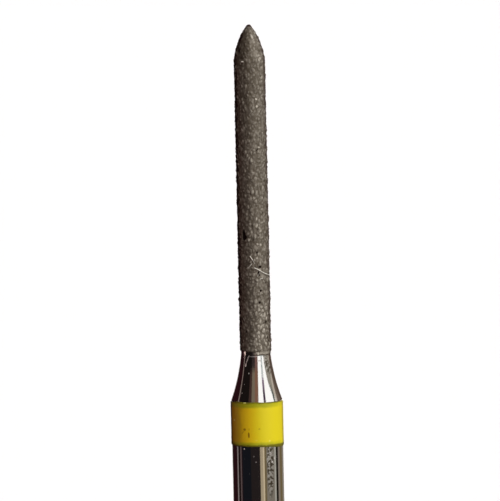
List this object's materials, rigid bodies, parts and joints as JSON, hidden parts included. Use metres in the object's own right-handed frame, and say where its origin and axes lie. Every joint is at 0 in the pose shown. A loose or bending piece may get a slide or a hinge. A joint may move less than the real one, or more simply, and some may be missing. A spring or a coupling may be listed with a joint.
{
  "type": "dental bur",
  "caption": "Friction-grip rotary bur: plain round shank, flared neck with a colour band, and a long parallel head with a torpedo point, coated in fine diamond grit.",
  "frame": {"origin": "centre of the flat end face of the shank", "axes": "+Z along the bur's axis, from the shank's end to the point"},
  "size_m": [0.0016, 0.0016, 0.023],
  "materials": {
    "steel": "polished stainless steel",
    "diamond_grit": "rough bonded grit",
    "yellow_lacquer": "gloss lacquer"
  },
  "bodies": {
    "root": {"steel_blank": "steel", "diamond_coating": "diamond_grit", "colour_ring": "yellow_lacquer"}
  },
  "joints": []
}
